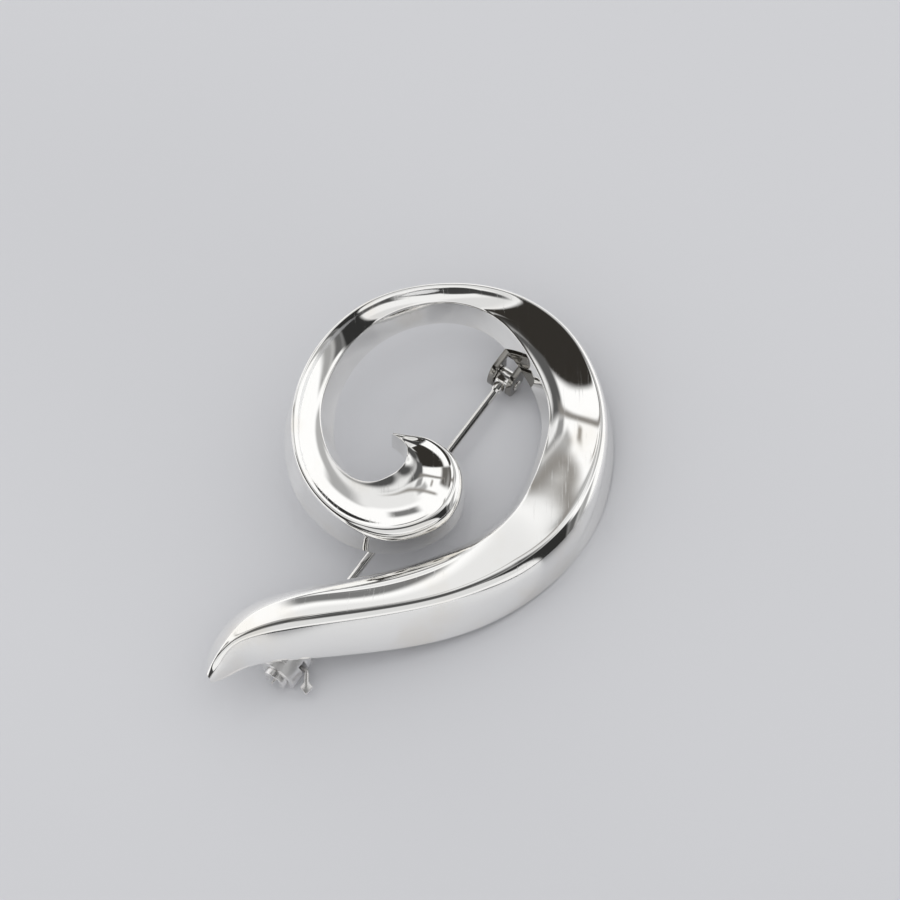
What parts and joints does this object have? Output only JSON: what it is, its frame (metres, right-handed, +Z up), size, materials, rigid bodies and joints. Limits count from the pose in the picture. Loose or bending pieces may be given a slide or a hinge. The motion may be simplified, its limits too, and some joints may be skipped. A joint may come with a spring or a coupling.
{
  "type": "spiral brooch",
  "caption": "Polished silver brooch: a curl that opens into a ring and leaves it as a tapering tail, with a hinged pin and a turning safety catch on its back.",
  "frame": {"origin": "bottom centre of the bounding box, on the table that the brooch lies on", "axes": "+Z up from the table, +Y towards the top of the ring, +X towards the right as the face is seen"},
  "size_m": [0.0436, 0.0468, 0.0118],
  "materials": {
    "silver": "mirror polished sterling silver with light wear",
    "silver_wire": "hard drawn silver wire, polished",
    "rivet": "filed and polished",
    "catch": "polished, with fine turning marks"
  },
  "bodies": {
    "brooch": {"spiral": "silver", "rivet": "rivet"},
    "pin": {"pin_stem": "silver_wire"},
    "roller": {"catch_roller": "catch"}
  },
  "joints": [
    {"name": "pin_hinge", "type": "hinge", "parent": "brooch", "child": "pin", "pos_m": [0.0099, 0.01384, 0.00178], "axis": [0.8024, -0.5619, -0.2011], "range_deg": [0, 95]},
    {"name": "catch_turn", "type": "hinge", "parent": "brooch", "child": "roller", "pos_m": [-0.01373, -0.01991, 0.00178], "axis": [-0.5736, -0.8192, 0], "range_deg": [-160, 0]}
  ]
}
